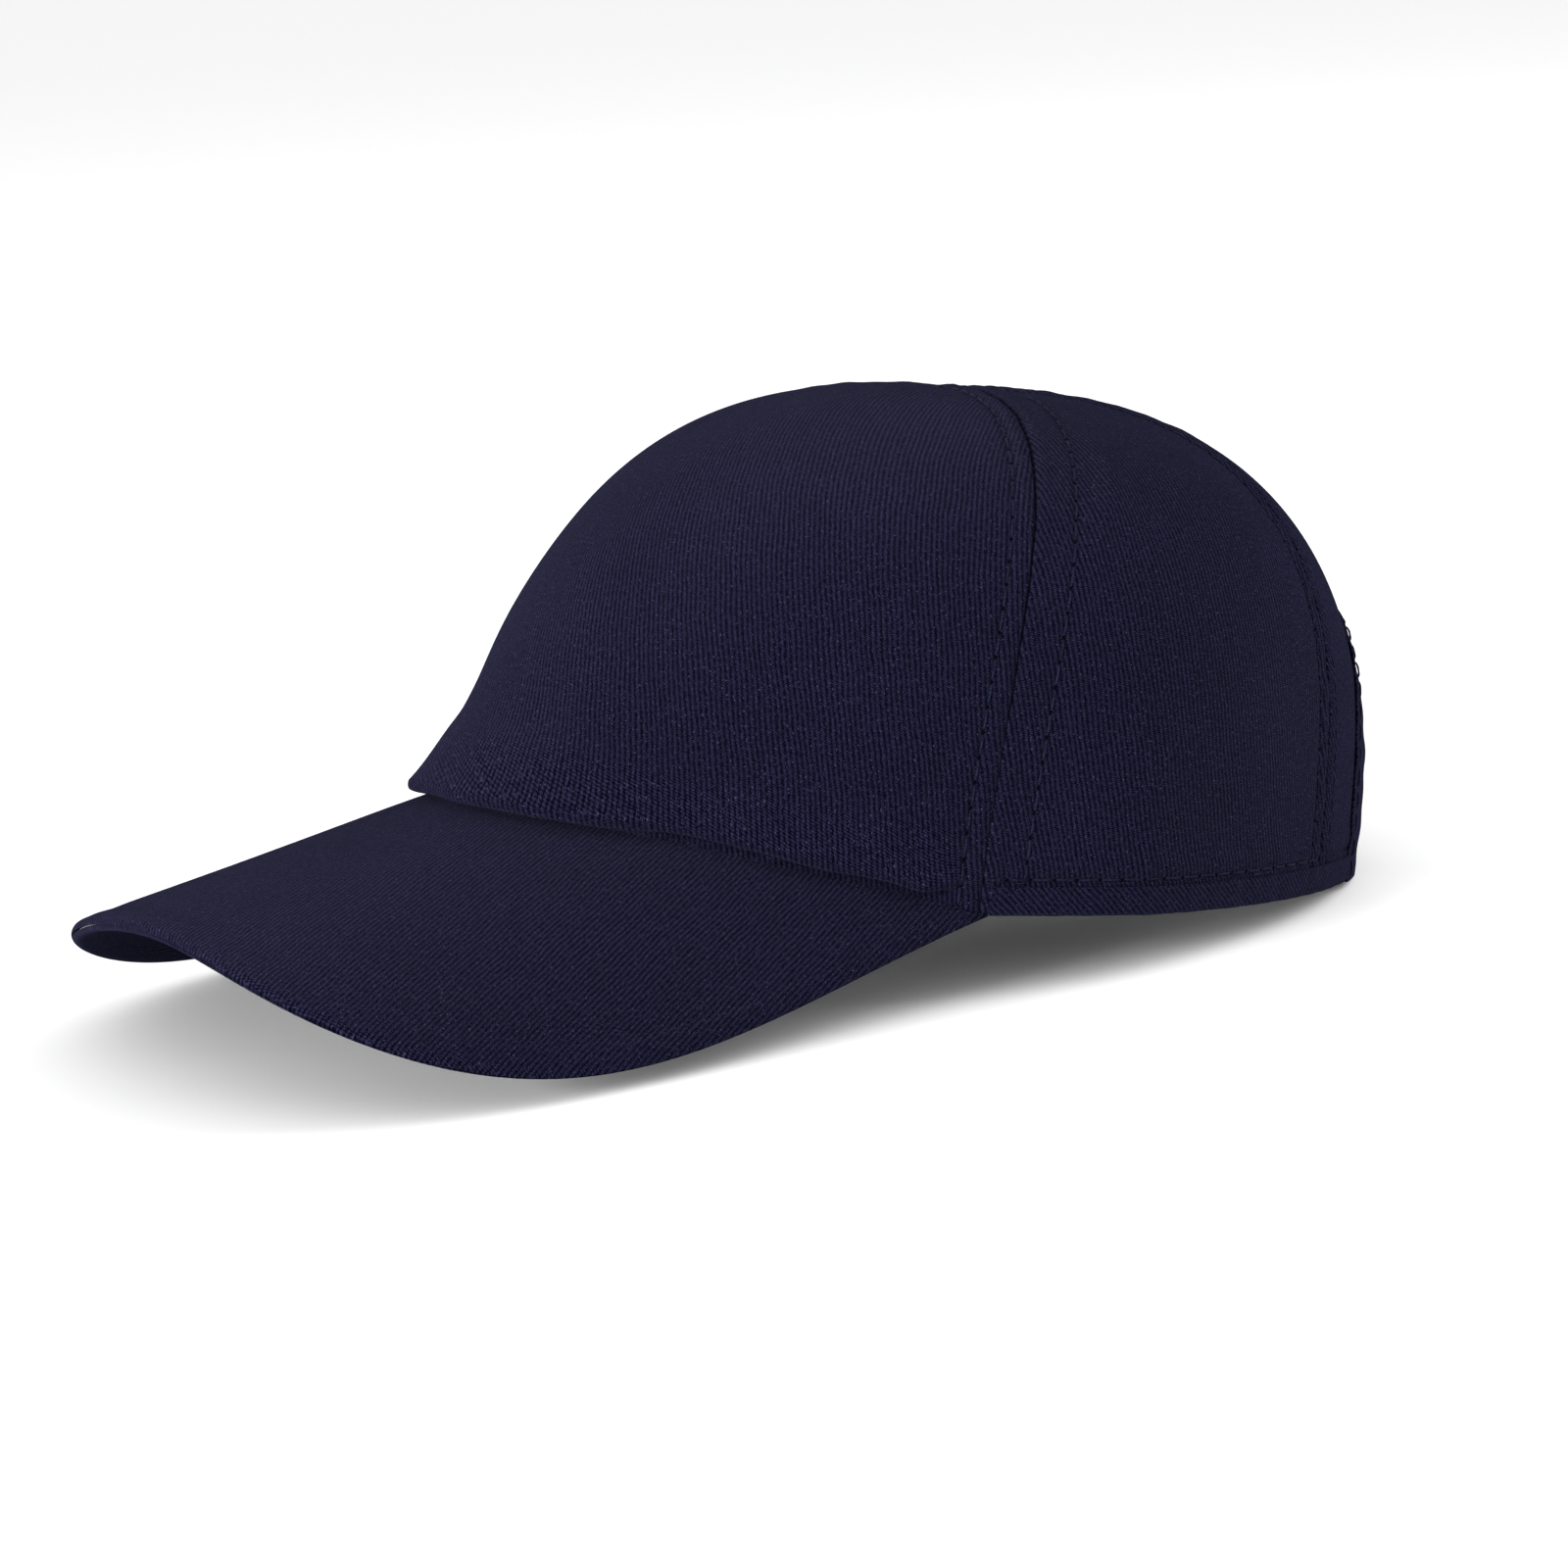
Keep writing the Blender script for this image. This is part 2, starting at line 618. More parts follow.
def crown_relief(angles, heights):
    """The slack of the whole crown, the same for each layer of cloth."""
    wrapped = (angles + 180) % 360 - 180
    rise = np.sin(math.pi * np.clip(heights / CROWN_HEIGHT, 0, 1))
    slack = waves(wrapped + heights * 0.3, (0.22, 47.0, 0.4), (0.14, 23.0, 1.9)) * rise
    return slack + dents(wrapped, heights, SOFT_SHAPES)


def roll_over(outer, outward, angles, up, apart):
    """The front panel's lower edge stands out over the brim and is rolled under, with a gap below it."""
    stand = ROLL_OUT_LEAST + ROLL_OUT * np.exp(-(((angles - ROLL_MIDDLE) / ROLL_SPREAD) ** 4))
    stand = stand + waves(angles, (0.25, 19.0, 0.6), (0.15, 11.0, 1.0))
    run = np.clip(up / ROLL_RUN, 0, 1)
    turn = np.clip((up - ROLL_RUN) / (ROLL_BEND - ROLL_RUN), 0, 1) * math.pi / 2
    above = np.maximum(up - ROLL_BEND, 0)
    under = ROLL_ROOT + (stand - ROLL_RADIUS - ROLL_ROOT) * run
    over = stand * np.exp(-above / ROLL_FADE) - ROLL_RADIUS * (1 - np.sin(turn))
    reach = np.where(up < ROLL_RUN, under, over)
    climb = (ROLL_BLEND - ROLL_GAP - ROLL_RADIUS) / (ROLL_BLEND - ROLL_BEND)
    rise = ROLL_GAP * run + ROLL_RADIUS * (1 - np.cos(turn)) + above * climb
    level = unit(outward * np.array([1.0, 1.0, 0.0]))
    rolled = outer + level * reach[..., None]
    follow = eased(up, ROLL_BEND, ROLL_BLEND)
    over_brim = brim_height(rolled[..., 0], rolled[..., 1]) + rise
    rolled[..., 2] = over_brim * (1 - follow) + outer[..., 2] * follow
    share = eased(apart, *ROLL_SEAM)[..., None]
    return outer * (1 - share) + rolled * share


def row_of_stitches(outer, facing, apart, along, distance):
    """The line on a grid where apart, which grows along each row, reaches a distance."""
    points, outward, travel = [], [], []
    for row, gaps in enumerate(apart):
        if gaps.max() < 2.5 * distance:
            break
        points.append([np.interp(distance, gaps, outer[row, :, c]) for c in range(3)])
        outward.append([np.interp(distance, gaps, facing[row, :, c]) for c in range(3)])
        travel.append(np.interp(distance, gaps, along[row]))
    return np.array(points), np.array(outward), np.array(travel), STITCH_PITCH, THREAD_RADIUS


def panel(name, first, second, low, grid_size, lean, topstitch, phase, rolled=False):
    """One panel of twill between two seams. topstitch has its sewing's distances from the two."""
    row_first, row_second = topstitch
    grid, heights, angles = crown_grid(first, second, low, *grid_size, 0.997)
    outward = normals(grid)
    from_first = lengths(grid, 1)
    width = from_first[:, -1:]
    from_second = width - from_first
    up = lengths(grid, 0)
    relief = crown_relief(angles, heights)
    fade = np.clip(width / 14, 0, 1)
    relief = relief + fade * seam_relief(from_first, up, row_first, phase)
    relief = relief + fade * seam_relief(from_second, up, row_second, phase + 1.3)
    if not rolled:
        relief = relief - 0.28 * bump(up, HEM_ROW, 0.8) + 0.2 * bump(up, HEM_ROW + 2.6, 1.8)
        along_hem = waves(from_first, (0.1, 6.7, phase), (0.09, 10.9, 1.0))
        relief = relief + along_hem * bump(up, HEM_ROW, 5.0)
    cloth = ribbed(from_first - width / 2, up, *lean)
    aside = np.where(from_first < from_second, from_first - row_first, from_second - row_second)
    along = up / STITCH_PITCH
    if not rolled:
        low_row = np.abs(up - HEM_ROW) < 2.0
        aside = np.where(low_row, up - HEM_ROW, aside)
        along = np.where(low_row, from_first / STITCH_PITCH, along)
    outer = grid + outward * relief[..., None]
    if rolled:
        outer = roll_over(outer, outward, angles, up, np.minimum(from_first, from_second))
    facing = normals(outer)
    inner = outer - facing * TWILL
    obj = shell(name + "_cloth", outer, inner, NAVY, cloth, np.stack([aside, along], -1))
    finish_piece(obj, "cap", "twill", name)
    sewing["crown"].append(row_of_stitches(outer, facing, from_first, up, row_first))
    mirrored = (grid[:, ::-1] for grid in (outer, facing, from_second, up))
    sewing["crown"].append(row_of_stitches(*mirrored, row_second))
    if low is hem_low:
        upright = (np.swapaxes(grid, 0, 1) for grid in (outer, facing, up, from_first))
        sewing["hem"].append(row_of_stitches(*upright, HEM_ROW))


def left(seam):
    """The seam's angle at a height, on the wearer's left."""
    return lambda height: seam_angle(seam, height)


def right(seam):
    return lambda height: -seam_angle(seam, height)


def right_behind(seam):
    """The angle on the wearer's right, counted on past the back."""
    return lambda height: 360 - seam_angle(seam, height)


def arch_low(angle_at):
    """Lowest height of a back panel: the top edge of the rear opening, or the hem beside it."""
    height = 0.0
    for step in np.linspace(0, ARCH_STRAIGHT + ARCH_RISE, 500):
        x = abs(crown_point(step, angle_at(step))[0])
        if x < ARCH_HALF_WIDTH:
            rise = ARCH_RISE * math.sqrt(1 - (x / ARCH_HALF_WIDTH) ** 2)
            if step < ARCH_STRAIGHT + rise:
                height = step
    return height


def above_brim(gap):
    return lambda angle_at: float(junction(angle_at)) + gap


def hem_low(angle_at):
    return 0.0


def crown_panels():
    front, side, back = (190, 150), (110, 150), (110, 130)
    front_rows, side_rows, back_rows = (FRONT_ROW, FRONT_ROW), (SIDE_ROW, REAR_ROW), (REAR_ROW, REAR_ROW)
    front_lean, side_lean, back_lean = (0.39, 0.0058, -0.000033), (0.40, -0.004), (0.18,)
    low, first, second = above_brim(0.25), right(FRONT_SEAM), left(FRONT_SEAM)
    panel("front_panel", first, second, low, front, front_lean, front_rows, 0.3, rolled=True)
    first, second = left(FRONT_SEAM), left(SIDE_SEAM)
    panel("side_panel_left", first, second, hem_low, side, side_lean, side_rows, 1.1)
    first, second = right(SIDE_SEAM), right(FRONT_SEAM)
    panel("side_panel_right", first, second, hem_low, side, side_lean, side_rows[::-1], 2.3)
    first, second = left(SIDE_SEAM), left(BACK_SEAM)
    panel("back_panel_left", first, second, arch_low, back, back_lean, back_rows, 0.7)
    first, second = left(BACK_SEAM), right_behind(SIDE_SEAM)
    panel("back_panel_right", first, second, arch_low, back, back_lean, back_rows, 1.9)


# ---------- layers inside the crown


def crown_normal(height, angle):
    across = crown_point(height, angle + 0.05) - crown_point(height, angle - 0.05)
    up = crown_point(height + 0.1, angle) - crown_point(height - 0.1, angle)
    return unit(np.cross(across, up))


def layer_point(height, angle, depth):
    """Point at a depth below the crown's outer surface, with the crown's slack."""
    height, angle, depth = np.broadcast_arrays(height, angle, depth)
    lift = crown_relief(angle, np.maximum(height, 0)) - depth
    return crown_point(height, angle) + crown_normal(height, angle) * lift[..., None]


def round_edges(distance, half):
    """Half thickness of a folded piece at a distance from its edge."""
    near = 1 - np.clip(distance / half, 0, 1)
    return half * np.sqrt(np.clip(1 - near * near, 0, 1)) + 0.02


def interlining():
    margin = 3.0
    inward = math.degrees(margin / HALF_WIDTH)

    def first(height):
        return right(FRONT_SEAM)(height) + inward

    def second(height):
        return left(FRONT_SEAM)(height) - inward

    grid, heights, angles = crown_grid(first, second, above_brim(margin), 80, 60, 0.9)
    outward = normals(grid)
    slack = crown_relief(angles, heights)
    outer, inner = (grid + outward * (slack - depth)[..., None] for depth in INTERLINING)
    cloth = turned(lengths(grid, 1), lengths(grid, 0), 0)
    obj = shell("front_interlining_cloth", outer, inner, STIFFENER, cloth)
    finish_piece(obj, "cap", "interlining", "front_interlining")


def seam_tape(name, angle_of, low, high, rows=110):
    """A tape over a seam, domed inwards by the seam allowances beneath it."""
    edge = np.array([TAPE_HALF - 0.25, TAPE_HALF])
    across = np.concatenate([-edge[::-1], np.linspace(-5.3, 5.3, 19), edge])
    dense = np.linspace(0, 1, 300)
    climb = low + (high - low) * (1 - (1 - dense) ** 2)
    travel = lengths(crown_point(climb, angle_of(climb))[:, None], 0)[:, 0]
    up = np.linspace(0, travel[-1], rows)[:, None]
    heights = np.interp(up[:, 0], travel, climb)
    centre = angle_of(heights)
    degree = np.linalg.norm(crown_point(heights, centre + 0.5) - crown_point(heights, centre - 0.5), axis=-1)
    angles = centre[:, None] + across[None, :] / degree[:, None]
    level = heights[:, None] + 0 * angles
    dome = 1.1 * bump(across[None, :], 0, 3.2) + waves(up, (0.08, 9.1, 0.5), (0.06, 15.0, 1.0))
    sewn = -0.15 * (bump(across[None, :], -TAPE_ROW, 0.6) + bump(across[None, :], TAPE_ROW, 0.6))
    outer = layer_point(level, angles, TAPE[0] + dome + sewn)
    inner = layer_point(level, angles, TAPE[1] + dome + sewn)
    cloth = np.stack(np.broadcast_arrays(across[None, :], up), -1)
    obj = shell(name + "_cloth", outer, inner, TAPE_CLOTH, cloth)
    finish_piece(obj, "cap", "tape", name)
    for side in (-TAPE_ROW, TAPE_ROW):
        line = layer_point(heights, centre + side / degree, TAPE[1] + 0.05)
        sewing["tapes"].append((line, -crown_normal(heights, centre), up[:, 0], TAPE_PITCH, 0.2))


def seam_tapes():
    bare_top = 17.5
    for title, seam in (("front", FRONT_SEAM), ("side", SIDE_SEAM)):
        high = height_from_apex(left(seam), bare_top)
        seam_tape(f"seam_tape_{title}_left", left(seam), HEM_HEIGHT + 0.2, high)
        seam_tape(f"seam_tape_{title}_right", right(seam), HEM_HEIGHT + 0.2, high)
    low = ARCH_STRAIGHT + ARCH_RISE + 8.3
    seam_tape("seam_tape_back", left(BACK_SEAM), low, height_from_apex(left(BACK_SEAM), bare_top), 40)


def height_from_apex(angle_of, distance):
    """Height on the crown at which a seam is this far from the apex."""
    climb = CROWN_HEIGHT * (1 - np.linspace(0, 0.6, 4000) ** 2.8)
    travel = lengths(crown_point(climb, angle_of(climb))[:, None], 0)[:, 0]
    return float(np.interp(distance, travel, climb))


def sweatband():
    """A folded twill band inside the base, with a row of stitches along each edge."""
    end = float(rear_angle(ARCH_HALF_WIDTH + BINDING_IN[0] + 0.2, 5.0))
    angles = np.linspace(-end, end, 420)[None, :]
    plan = layer_point(5.0, angles, 4.2)
    low = np.maximum(SWEATBAND_HEIGHTS[0], brim_height(plan[..., 0], plan[..., 1]) - BRIM_THICKNESS)
    low = np.where(np.abs(angles) < CORNER_ANGLE, low, SWEATBAND_HEIGHTS[0])
    share = crowded(46, 0.85)[:, None]
    top = SWEATBAND_HEIGHTS[1] + waves(angles, (0.25, 31.0, 0.0), (0.15, 13.0, 1.0)) - 0.5
    heights = low + (top - low) * share
    up = heights - low
    edge = np.minimum(up, top - heights)
    half = round_edges(edge, 0.7)
    middle = sum(SWEATBAND) / 2
    along = lengths(layer_point(heights * 0 + 5.0, angles + 0 * heights, middle), 1)
    bulge = 0.25 * bump(up, 8.0, 5.0) + waves(along, (0.10, 13.0, 0.2), (0.08, 8.3, 0.9)) * np.exp(-up / 7)
    sunk = 0.25 * bump(up, 3.0, 0.7) + 0.18 * bump(top - heights, 2.5, 0.6)
    outer = layer_point(heights, angles + 0 * heights, middle - half + sunk * 0.3)
    inner = layer_point(heights, angles + 0 * heights, middle + half + bulge - sunk)
    holes = np.stack([np.where(up < 8, up - 3.0, top - heights - 2.5), along / STITCH_PITCH], -1)
    obj = shell("sweatband_cloth", outer, inner, LINING, turned(along, heights, -35), holes)
    finish_piece(obj, "cap", "sweatband", "sweatband")
    for height in (low[0] + 3.0, top[0] - 2.5):
        line = layer_point(height, angles[0], SWEATBAND[1] + 0.02)
        sewing["sweatband"].append((line, -crown_normal(height, angles[0]), along[0], STITCH_PITCH, 0.26))


def care_label():
    x = np.linspace(LABEL_SPAN[1], LABEL_SPAN[0], 30)[None, :]
    z = np.linspace(*LABEL_HEIGHTS, 36)[:, None]
    angles = rear_angle(x, z + 0 * x)
    curl = waves(z, (0.08, 21.0, 0.3)) + 0 * x
    outer = layer_point(z + 0 * x, angles, LABEL[0] + 0.05 + curl)
    inner = layer_point(z + 0 * x, angles, LABEL[1] - 0.05 + curl)
    cloth = np.stack(np.broadcast_arrays(x, z), -1)
    obj = shell("care_label_cloth", outer, inner, LABEL_CLOTH, cloth)
    finish_piece(obj, "cap", "label", "care_label")


# ---------- folded edge strips


def folded(length, inside):
    """Section of a strip folded round an edge: distances from the edge, and depths."""
    centre = (BINDING_OUT[0] + BINDING_IN[1]) / 2
    thick = BINDING_OUT[1] - BINDING_OUT[0]
    radius = centre - BINDING_OUT[0] - (thick if inside else 0)
    tuck = thick / 2 - 0.06
    turn = np.radians(np.linspace(0, 180, 15))
    flap = np.linspace(length - 0.5, centre, 9)
    ends = [(length, tuck), (length - 0.08, 0.5 * tuck), (length - 0.25, 0.1)]
    sign = -1 if inside else 1
    first = [(far, centre + radius - sign * back) for far, back in ends]
    last = [(far, centre - radius + sign * back) for far, back in reversed(ends)]
    down = [(far, centre + radius) for far in flap[:-1]]
    bend = [(centre - radius * math.sin(a), centre + radius * math.cos(a)) for a in turn]
    rise = [(far, centre - radius) for far in flap[::-1][1:]]
    return np.array(first + down + bend + rise + last)


def hem_binding(side):
    name = "left" if side > 0 else "right"
    end = float(rear_angle(ARCH_HALF_WIDTH + ARCH_BINDING_WIDTH + 0.2, 2.0))
    angles = np.linspace(CORNER_ANGLE + 0.3, end, 170)
    if side < 0:
        angles = -angles[::-1]
    grids = []
    for inside in (False, True):
        section = folded(HEM_HEIGHT, inside)
        heights, depth = section[:, :1], section[:, 1:]
        grids.append(layer_point(heights, angles[None, :], depth))
    along = lengths(grids[0], 1)
    outer_flap = np.arange(len(along))[:, None] > len(along) / 2
    ripple = waves(along, (0.07, 6.3, 0.2), (0.06, 11.0, 1.0)) * outer_flap
    outward = crown_normal(np.full_like(along, 2.0), angles[None, :] + 0 * along)
    grids = [grid + outward * ripple[..., None] for grid in grids]
    cloth = turned(along, lengths(grids[0], 0), 45)
    obj = shell("hem_binding_" + name + "_cloth", *grids, BIAS, cloth)
    finish_piece(obj, "cap", "twill", "hem_binding_" + name)


def arch_point(turn, grow, leg):
    """Rear-view x and height on the rear opening's edge, grown outwards; leg is the height below the arc."""
    x = (ARCH_HALF_WIDTH + grow) * np.cos(turn)
    z = ARCH_STRAIGHT - leg + (ARCH_RISE + grow) * np.sin(turn)
    return x, z


def arch_path():
    """Turns and leg heights along the rear opening from its left foot over the top to its right foot."""
    leg = np.linspace(ARCH_STRAIGHT - BINDING_OUT[0], 0, 14)[:-1]
    arc = np.linspace(0, math.pi, 150)
    turn = np.concatenate([0 * leg, arc, 0 * leg + math.pi])
    down = np.concatenate([leg, 0 * arc, leg[::-1]])
    return turn, down


def arch_binding():
    turn, leg = arch_path()
    grids = []
    for inside in (False, True):
        section = folded(ARCH_BINDING_WIDTH, inside)
        x, z = arch_point(turn[None, :], section[:, :1], leg[None, :])
        angles = rear_angle(x, z)
        along = lengths(crown_point(z, angles), 1)
        ripple = waves(along, (0.09, 8.3, 0.4), (0.07, 13.1, 1.7))
        grids.append(layer_point(z, angles, section[:, 1:] - ripple))
    cloth = turned(lengths(grids[0], 1), lengths(grids[0], 0), 45)
    finish_piece(shell("arch_binding_cloth", *grids, BIAS, cloth), "cap", "twill", "arch_binding")
    row_margin = 1.6
    x, z = arch_point(turn, ARCH_BINDING_WIDTH - row_margin, leg)
    angles = rear_angle(x, z)
    line = layer_point(z, angles, BINDING_OUT[0] - 0.1)
    along = lengths(line[:, None], 0)[:, 0]
    sewing["arch"].append((line, crown_normal(z, angles), along, STITCH_PITCH, 0.22))


# ---------- brim


def brim_turns(count):
    """Turns that divide the brim's outline evenly."""
    t = np.linspace(0, 1, 4001)
    share = t**1.6 / (t**1.6 + (1 - t) ** 1.6)
    turn = 90 * np.concatenate([-share[::-1], share[1:]])
    x, y = outline(turn)
    travel = np.concatenate([[0], np.cumsum(np.hypot(np.diff(x), np.diff(y)))])
    return np.interp(np.linspace(0, travel[-1], count), travel, turn)


def brim_surface(x, y, depth):
    """Point at a depth square below the brim's top."""
    slope = (bow(x + 0.05) - bow(x - 0.05)) / 0.1
    normal = unit(np.stack([-slope, 0 * x - BRIM_SLOPE, 1 + 0 * x], -1))
    return np.stack([x, y, brim_height(x, y)], -1) - normal * np.asarray(depth)[..., None]


def brim_grid(turns, radius, below):
    """One face of a brim cover, from its root to the middle of the rim; radius is that of its rim."""
    rim = BRIM_THICKNESS / 2
    angle = turns * CORNER_ANGLE / 90
    root_height = junction(lambda height: angle + 0 * height)
    root = crown_point(root_height, angle, BRIM_ROOT)
    rows = []
    for share in crowded(64, 0.6):
        x, y = outline(turns, rim)
        x = root[:, 0] * (1 - share) + x * share
        y = root[:, 1] * (1 - share) + y * share
        rows.append((x, y, rim - radius))
    for bend in np.radians(np.linspace(8, 84, 9)):
        x, y = outline(turns, rim - radius * math.sin(bend))
        rows.append((x, y, rim - radius * math.cos(bend)))
    x, y, depth = (np.array([row[k] + 0 * turns for row in rows]) for k in range(3))
    edge = np.hypot(x - rows[-1][0], y - rows[-1][1])
    root_gap = np.hypot(x - rows[0][0], y - rows[0][1])
    calm = np.clip(root_gap / 12, 0, 1) * np.clip(edge / 6, 0, 1)
    slack = waves(x + 0.4 * y, (0.10, 37.0, 0.5)) * calm
    slack = slack + 0.12 * bump(edge, 4.2, 1.6) - 0.10 * bump(edge, 7.5, 2.0)
    depth = np.where(below, BRIM_THICKNESS - depth + slack, depth - slack)
    return brim_surface(x, y, depth), x, y


def brim_covers():
    arc_x = np.linspace(-90, 90, 721)
    arc = np.cumsum(np.sqrt(1 + np.gradient(bow(arc_x), arc_x) ** 2)) * (arc_x[1] - arc_x[0])
    for name, below in (("brim_top_cover", False), ("brim_bottom_cover", True)):
        turns = brim_turns(250)
        if not below:
            turns = turns[::-1]
        outer, x, y = brim_grid(turns, BRIM_THICKNESS / 2, below)
        inner, _, _ = brim_grid(turns, BRIM_THICKNESS / 2 - TWILL, below)
        cloth = turned(np.interp(x, arc_x, arc), -y * 1.04, -22)
        finish_piece(shell(name + "_cloth", outer, inner, NAVY, cloth), "cap", "twill", name)
    turns = brim_turns(120)[::-1]
    board_half = 0.6
    upper, x, y = brim_grid(turns, board_half, False)
    lower, _, _ = brim_grid(turns, board_half, True)
    obj = shell("brim_board_sheet", upper, lower, BOARD, np.stack([x, y], -1))
    finish_piece(obj, "cap", "board", "brim_board")


# ---------- rear closure


def band(name, slot, ends_at, heights, layer, depth_of, rounding, material, lean, margin, columns):
    """A flat piece along the back of the crown, rounded at its left end, or its right when below 0."""
    x_from, x_to = ends_at
    thickness = layer[1] - layer[0]
    x = x_from + (x_to - x_from) * crowded(columns, 0.8)[None, :]
    low, high = heights
    if x_from < x_to:
        x = x[:, ::-1]
    end = min(x_from, x_to) if rounding < 0 else max(x_from, x_to)
    near = np.clip(abs(rounding) - np.abs(x - end), 0, None)
    cut = abs(rounding) - np.sqrt(np.clip(rounding**2 - near**2, 0, None))
    share = crowded(34, 0.85)[:, None]
    z = low + cut + (high - low - 2 * cut) * share
    x = x + 0 * z
    sides = np.minimum(z - low - cut, high - cut - z)
    ends = np.minimum(np.abs(x - x_from), np.abs(x - x_to))
    half = round_edges(np.minimum(sides, ends), thickness / 2)
    middle = depth_of(x) + waves(x + 0.5 * z, (0.06, 17.0, 0.3), (0.04, 9.0, 0.8))
    sunk = 0.16 * bump(sides, margin, 0.7)
    angles = rear_angle(x, z)
    point = crown_point(z, angles)
    outward = crown_normal(z, angles)
    outer = point - outward * (middle - half + sunk)[..., None]
    inner = point - outward * (middle + half - sunk)[..., None]
    along = lengths(outer, 1)
    holes = np.stack([sides - margin, along / CLOSURE_PITCH], -1)
    obj = shell(name, outer, inner, material, turned(along, z, lean), holes)
    seams = []
    for height in (low + margin, high - margin):
        spot = np.linspace(float(x.max()) - 4, float(x.min()) + 4, 160)
        level = height + 0 * spot
        angle = rear_angle(spot, level)
        normal = crown_normal(level, angle)
        line = crown_point(level, angle) - normal * (depth_of(spot) - thickness / 2)[..., None]
        seams.append((line, normal, lengths(line[:, None], 0)[:, 0], CLOSURE_PITCH, THREAD_RADIUS))
    return obj, seams


def strap_depth(x):
    inside, outside = sum(STRAP_INSIDE) / 2, sum(STRAP) / 2
    return inside + (outside - inside) * eased(x, *STRAP_CROSSES)


def depth_within(layer):
    return lambda x: 0 * x + sum(layer) / 2


def at_back(x, height):
    """Point on the back of the crown in the row frame."""
    return place(crown_point(np.array(height), rear_angle(np.array(x), np.array(height))))


def webbing(title, ends_at, layer, depth_of, rounding, hinge, free_from):
    """The strap or the tab, which bends between the two x of its hinge and is sewn beyond free_from."""
    middle = sum(STRAP_HEIGHTS) / 2
    style = (rounding, NAVY, 60, CLOSURE_MARGIN, 150)
    strip, seams = band(title + "_cloth", "twill", ends_at, STRAP_HEIGHTS, layer, depth_of, *style)
    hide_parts(title, title + "_anchor")
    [at_back(x, middle) for x in hinge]
    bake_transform(strip)
    for line, normal, along, pitch, radius in seams:
        free = (line[:, 0] - free_from) * (ends_at[1] - ends_at[0]) > 0
        sewing[title].append((line[free], normal[free], along[free], pitch, radius))


def pad(title, body, span, layer, rounding, material, columns):
    heights = (STRAP_HEIGHTS[0] + PAD_MARGIN, STRAP_HEIGHTS[1] - PAD_MARGIN)
    style = (rounding, material, 0, 1.5, columns)
    obj, _ = band(title + "_pad_tape", title + "_tape", span, heights, layer, depth_within(layer), *style)
    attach(obj, body)
    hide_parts(title + "_pad")


def closure():
    hinge = (STRAP_HINGE_X - 1.5, STRAP_HINGE_X + 3.5)
    webbing("strap", STRAP_ENDS, STRAP, strap_depth, CLOSURE_ROUND, hinge, STRAP_CROSSES[1] + 1)
    hinge = (TAB_HINGE_X + 1.5, TAB_HINGE_X - 4.0)
    webbing("tab", TAB_ENDS, TAB, depth_within(TAB), -CLOSURE_ROUND, hinge, TAB_HINGE_X - 5)
    pad("hook", "strap", HOOK_SPAN, HOOK_PAD, 4.5, HOOKS, 90)
    pad("loop", "tab", LOOP_SPAN, LOOP_PAD, 0.0, LOOPS, 120)


# ---------- thread


def stitches(name, body, rows):
    """Rows of stitches, each row (points, normals, positions, pitch, radius of the thread)."""
    stations = np.array([0.08, 0.13, 0.24, 0.37, 0.5, 0.63, 0.76, 0.87, 0.92])
    rises = np.array([-0.9, -0.2, 0.35, 0.6, 0.65, 0.6, 0.35, -0.2, -0.9])
    widths = np.array([0.45, 0.85, 1.0, 1.05, 1.0, 1.05, 1.0, 0.85, 0.45])
    around = np.linspace(0, 2 * math.pi, 9)[:-1]
    vertices, faces = [], []
    count = 0
    for points, outward, along, pitch, radius in rows:
        for k in range(math.ceil(along[0] / pitch), math.floor(along[-1] / pitch)):
            spots = (k + stations) * pitch
            centre = np.stack([np.interp(spots, along, points[:, c]) for c in range(3)], -1)
            up = unit(np.stack([np.interp(spots, along, outward[:, c]) for c in range(3)], -1))
            ahead = unit(np.gradient(centre, axis=0))
            side = unit(np.cross(up, ahead))
            centre = centre + up * (rises * radius)[:, None]
            for step in range(len(stations)):
                size = widths[step] * radius * (1 + 0.10 * np.cos(2 * (around + 2.2 * step)))
                ring = np.outer(np.cos(around) * size, side[step]) + np.outer(np.sin(around) * size, up[step])
                vertices.append(centre[step] + ring)
            n = len(around)
            for step in range(len(stations) - 1):
                for a in range(n):
                    b = (a + 1) % n
                    low = count + step * n
                    faces.append((low + a, low + b, low + n + b, low + n + a))
            faces.append(tuple(count + a for a in reversed(range(n))))
            faces.append(tuple(count + (len(stations) - 1) * n + a for a in range(n)))
            count += len(stations) * n
    finish_piece(new_object(name, place(np.concatenate(vertices)), faces, THREAD), body, "tape")


crown_panels()
interlining()
seam_tapes()
sweatband()
care_label()
hem_binding(1)
hem_binding(-1)
arch_binding()
brim_covers()
closure()
stitches("crown_topstitching", "cap", sewing["crown"])
stitches("hem_topstitching", "cap", sewing["hem"])
stitches("tape_stitching", "cap", sewing["tapes"])
stitches("sweatband_stitching", "cap", sewing["sweatband"])
stitches("arch_stitching", "cap", sewing["arch"])
stitches("strap_stitching", "strap", sewing["strap"])
stitches("tab_stitching", "tab", sewing["tab"])


# ---------- camera, light and floor


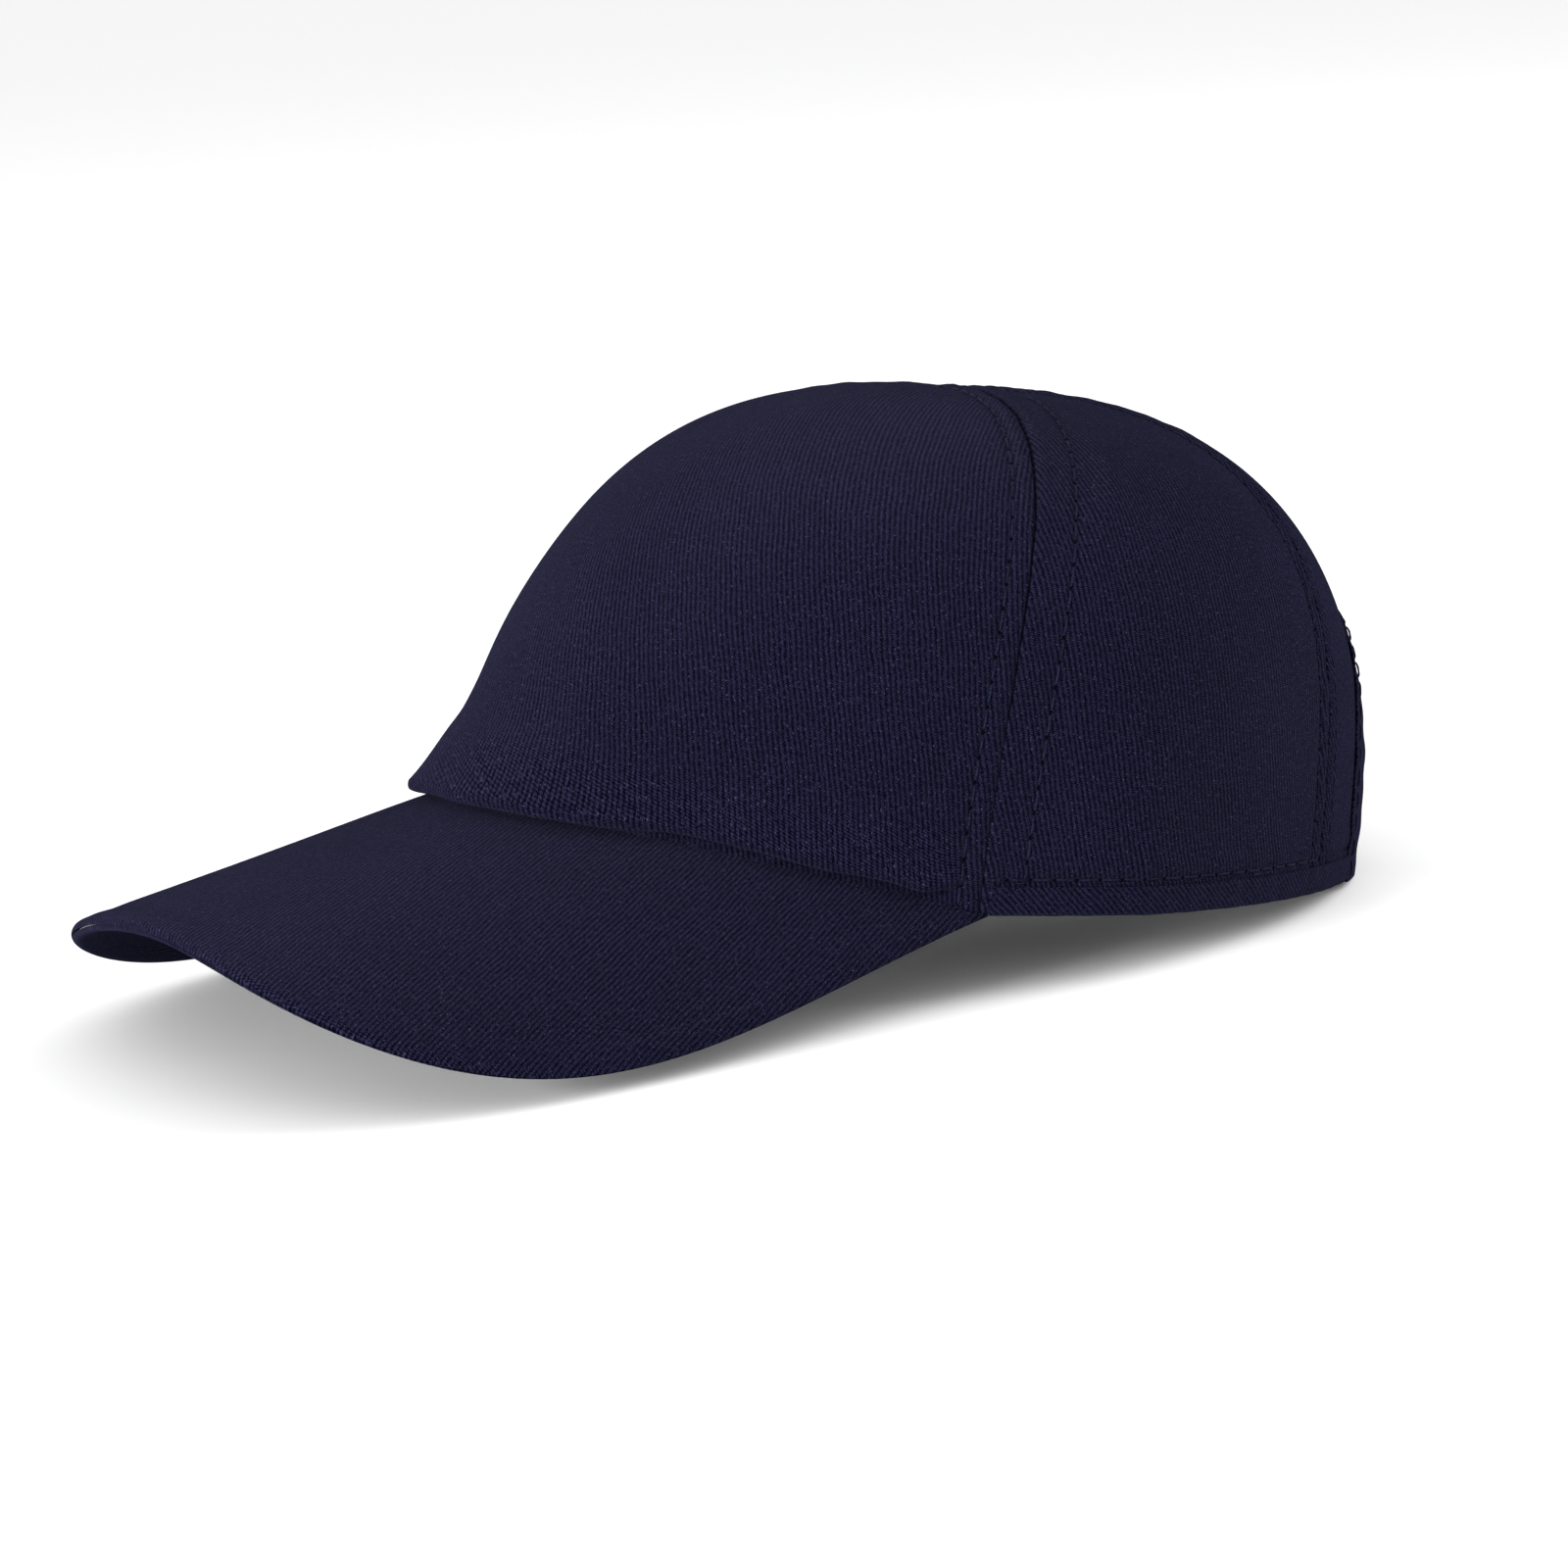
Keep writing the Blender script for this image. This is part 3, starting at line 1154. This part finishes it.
def fit_view():
    """The camera stands in front of the cap's left side, a little above it."""
    lean = math.radians(3.89)
    azimuth, elevation = math.radians(51.68), math.radians(7.15)
    distance, lift, focus = 900.0, 11.79, Vector((0, 0, 60.0))
    aside, above = -0.02586, -0.03670
    level = math.cos(elevation)
    back = Vector((math.sin(azimuth) * level, -math.cos(azimuth) * level, math.sin(elevation)))
    side = Vector((math.cos(azimuth), math.sin(azimuth), 0))
    up = back.cross(side)
    gaze = -back + side * aside + up * above
    spot = focus + back * distance - Vector((0, 0, lift))
    turn = Matrix.Rotation(lean - TILT, 3, "X")
    place_at = turn @ spot + Vector(CROWN_ORIGIN)
    ahead = (turn @ gaze).normalized()
    across = ahead.cross(turn @ up).normalized()
    camera = bpy.data.cameras.new("camera")
    camera.sensor_width = 36.0
    camera.lens = 98.48
    camera.clip_start = 0.05
    obj = bpy.data.objects.new("camera", camera)
    bpy.context.scene.collection.objects.link(obj)
    axes = Matrix((across, across.cross(ahead), -ahead)).transposed()
    obj.matrix_world = Matrix.Translation(place_at * MM) @ axes.to_4x4()
    bpy.context.scene.camera = obj


def area_light(name, position, size, power):
    """A square light that faces the cap."""
    target = Vector((0, 0, 0.05))
    light = bpy.data.lights.new(name, "AREA")
    light.energy = power
    light.size = size
    obj = bpy.data.objects.new(name, light)
    bpy.context.scene.collection.objects.link(obj)
    obj.location = position
    obj.rotation_mode = "QUATERNION"
    obj.rotation_quaternion = (target - Vector(position)).to_track_quat("-Z", "Y")


def white_world():
    world = bpy.data.worlds.new("studio")
    world.use_nodes = True
    background = world.node_tree.nodes["Background"]
    background.inputs["Color"].default_value = (1.0, 1.0, 1.0, 1.0)
    background.inputs["Strength"].default_value = 1.0
    bpy.context.scene.world = world
    bpy.context.scene.view_settings.view_transform = "Standard"


def studio_floor():
    s = Shader("studio_floor")
    grain = s.noise(s.place(), 40.0, 3.0)
    colour = s.mix(grain, (0.90, 0.90, 0.90), (0.93, 0.93, 0.93))
    material = s.done(colour, 0.75, s.bump(grain, 0.0001, 0.2), Specular_IOR_Level=0.2)
    reach = 40.0
    corners = np.array([(-reach, -reach, 0), (reach, -reach, 0), (reach, reach, 0), (-reach, reach, 0)])
    new_object("studio_floor", corners, [(0, 1, 2, 3)], material)


fit_view()
area_light("key", (0.15, -2.45, 0.42), 1.1, 108.0)
area_light("top", (0.9, 2.1, 1.3), 1.6, 46.0)
white_world()
studio_floor()

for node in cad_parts.values():
    node.data.materials.clear()
    node.data.materials.append(BOARD if node.name == "brim_board" else NAVY)
